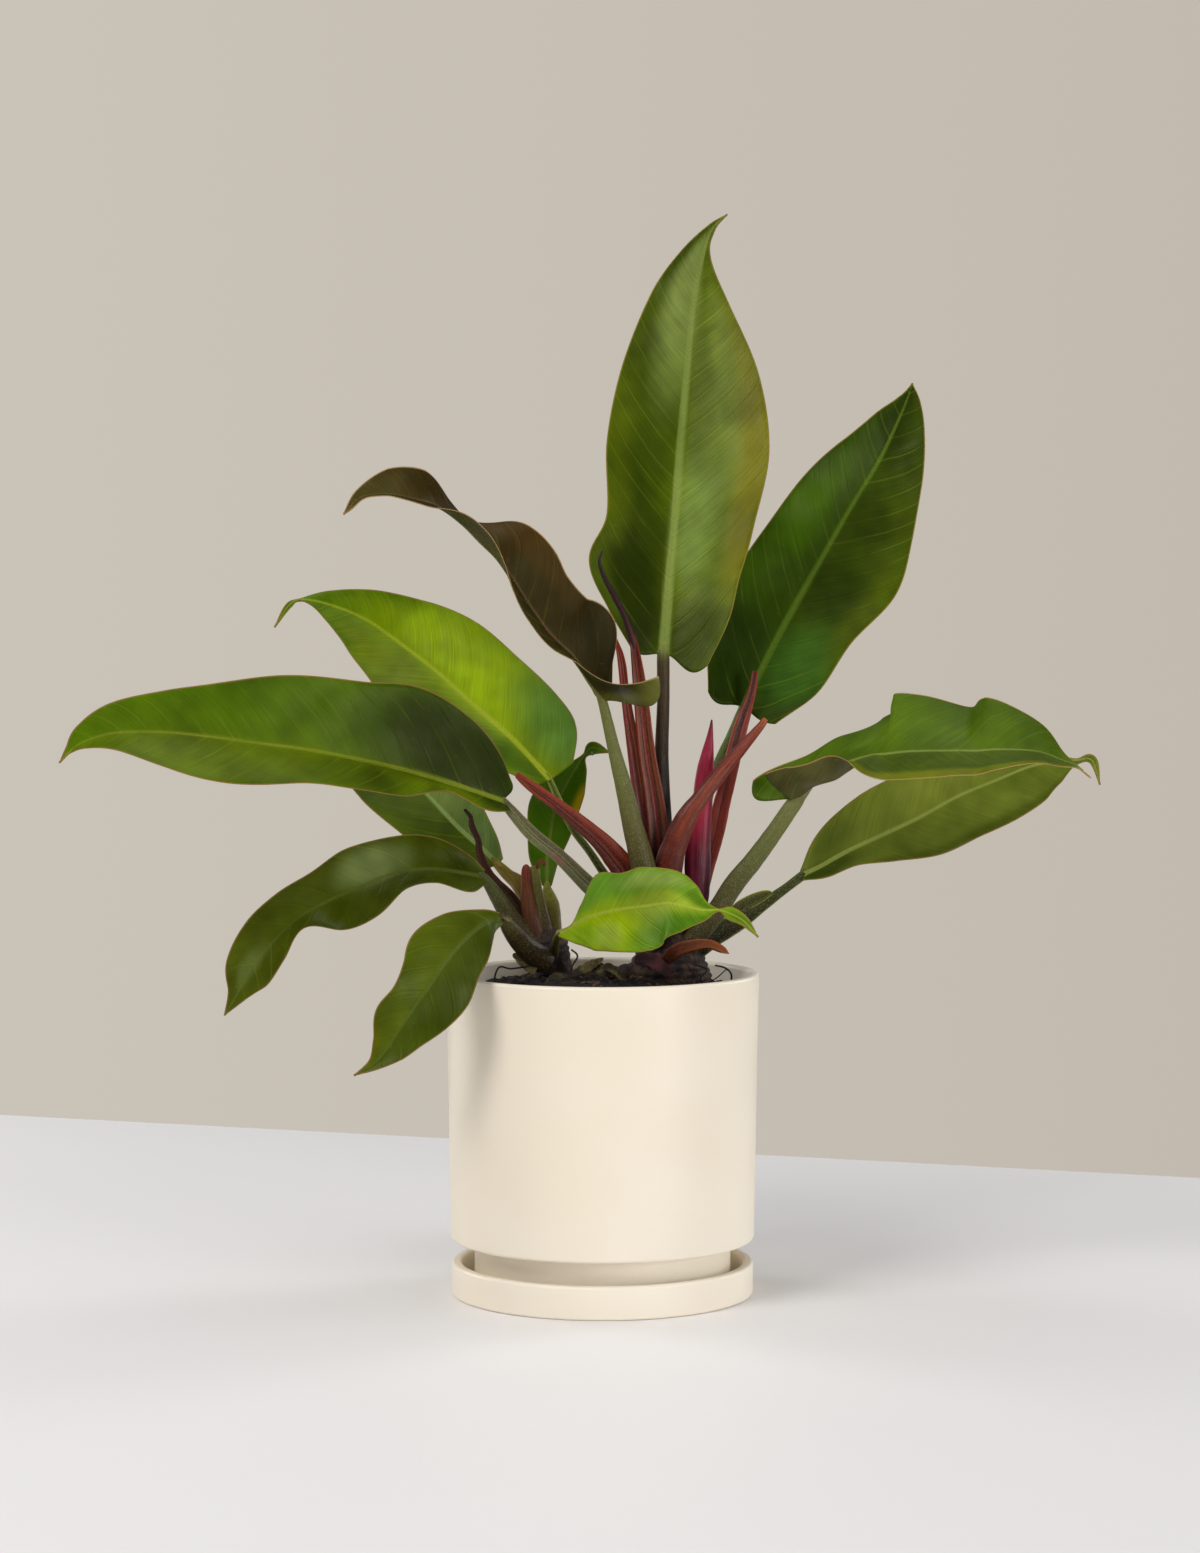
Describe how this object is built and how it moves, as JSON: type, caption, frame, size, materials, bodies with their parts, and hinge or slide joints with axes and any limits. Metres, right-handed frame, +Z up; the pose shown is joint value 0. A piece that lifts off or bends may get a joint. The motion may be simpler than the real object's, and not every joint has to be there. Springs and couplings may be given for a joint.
{
  "type": "potted philodendron",
  "caption": "Philodendron with long glossy green leaves and red sheaths, growing in soil in a cream cylindrical pot on a matching saucer.",
  "frame": {"origin": "centre of the saucer's underside, on the pot's axis", "axes": "+Z up along the pot's axis, +X towards the right-hand leaves, -Y towards the front"},
  "size_m": [0.6588, 0.2582, 0.6946],
  "materials": {
    "leaf_green": "glossy",
    "leaf_bronze": "satin",
    "stalk_green": "satin",
    "sheath_red": "satin",
    "bud_crimson": "satin",
    "husk_brown": "matte",
    "glazed_cream": "satin",
    "soil_dark": "matte"
  },
  "bodies": {
    "root": {"leaf_tall_centre": "leaf_green", "leaf_right_upper": "leaf_green", "leaf_twisted_bronze": "leaf_bronze", "leaf_bright_left": "leaf_green", "leaf_long_left": "leaf_green", "leaf_hidden_back": "leaf_green", "leaf_drooping_left": "leaf_green", "leaf_drooping_front": "leaf_green", "leaf_small_upright": "leaf_green", "leaf_folded_right": "leaf_green", "leaf_lower_right": "leaf_green", "leaf_front_small": "leaf_green", "crown_main": "husk_brown", "crown_side": "husk_brown", "stalk_folded_right": "stalk_green", "stalk_twisted_bronze": "stalk_green", "stalk_long_left": "stalk_green", "sheath_left": "sheath_red", "sheath_right_front": "sheath_red", "bud_crimson": "bud_crimson", "sheath_centre": "sheath_red", "sheath_centre_left": "sheath_red", "spear_dark": "sheath_red", "sheath_right_back": "sheath_red", "sheath_low_orange": "sheath_red", "stub_cut": "sheath_red", "sheath_twisted_brown": "sheath_red", "stalk_drooping_front": "stalk_green", "stalk_drooping_left": "stalk_green", "stalk_front_small": "stalk_green", "stalk_lower_right": "stalk_green", "stalk_tall_centre": "stalk_green", "stalk_right_upper": "stalk_green", "stalk_bright_left": "stalk_green", "stalk_hidden_back": "stalk_green", "stalk_small_upright": "stalk_green", "runner": "husk_brown", "scale_brown": "husk_brown", "husk_dry": "husk_brown", "flake_pink": "sheath_red", "root_1": "husk_brown", "root_2": "husk_brown", "root_3": "husk_brown", "root_4": "husk_brown", "soil": "soil_dark", "pot": "glazed_cream", "saucer": "glazed_cream"}
  },
  "joints": []
}
